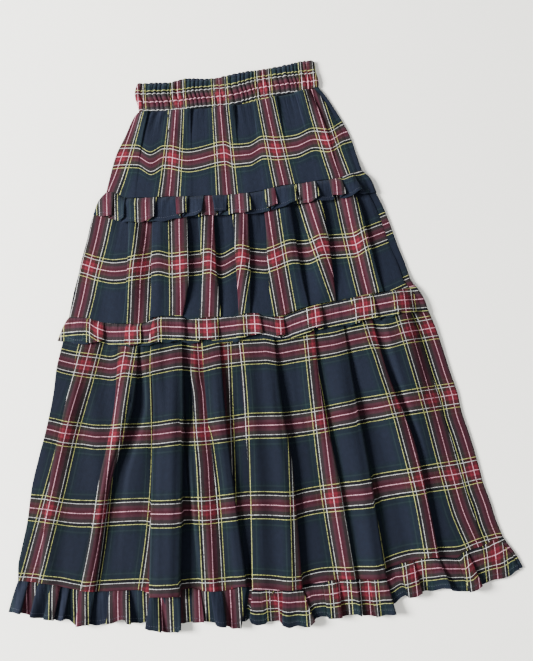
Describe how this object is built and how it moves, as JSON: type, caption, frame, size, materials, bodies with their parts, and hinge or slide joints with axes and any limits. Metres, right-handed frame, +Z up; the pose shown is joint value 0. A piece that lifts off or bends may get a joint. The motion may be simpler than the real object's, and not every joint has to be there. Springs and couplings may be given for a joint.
{
  "type": "tiered ruffle skirt",
  "caption": "Long gathered tiered skirt in tartan flannel with a gathered elastic waist, ruffles set into its tier seams and a ruffled hem, laid out flat on its back.",
  "frame": {"origin": "centre of the bounding box's underside, on the surface that the skirt lies on", "axes": "+X across the skirt, to the right as its front is seen with the waist up, +Y from the hem to the waist, +Z up from the surface through the back and then the front"},
  "size_m": [0.776, 0.8928, 0.0121],
  "materials": {
    "waistband_front": "brushed tartan flannel, gathered",
    "waistband_back": "brushed tartan flannel, gathered",
    "upper_tier_front": "brushed tartan flannel",
    "upper_tier_back": "brushed tartan flannel",
    "upper_ruffle_front": "brushed tartan flannel",
    "upper_ruffle_back": "brushed tartan flannel",
    "middle_tier_front": "brushed tartan flannel",
    "middle_tier_back": "brushed tartan flannel",
    "middle_ruffle_front": "brushed tartan flannel, cut along a red band",
    "middle_ruffle_back": "brushed tartan flannel, cut along a red band",
    "lower_tier_front": "brushed tartan flannel",
    "lower_tier_back": "brushed tartan flannel",
    "hem_ruffle_front_left": "brushed tartan flannel",
    "hem_ruffle_front_right": "brushed tartan flannel, cut along a red band",
    "hem_ruffle_back": "brushed tartan flannel"
  },
  "bodies": {
    "root": {"waistband_front": "waistband_front", "waistband_back": "waistband_back", "upper_tier_front": "upper_tier_front", "upper_tier_back": "upper_tier_back", "upper_ruffle_front": "upper_ruffle_front", "upper_ruffle_back": "upper_ruffle_back", "middle_tier_front": "middle_tier_front", "middle_tier_back": "middle_tier_back", "middle_ruffle_front": "middle_ruffle_front", "middle_ruffle_back": "middle_ruffle_back", "lower_tier_front": "lower_tier_front", "lower_tier_back": "lower_tier_back", "hem_ruffle_front_left": "hem_ruffle_front_left", "hem_ruffle_front_right": "hem_ruffle_front_right", "hem_ruffle_back": "hem_ruffle_back"}
  },
  "joints": []
}
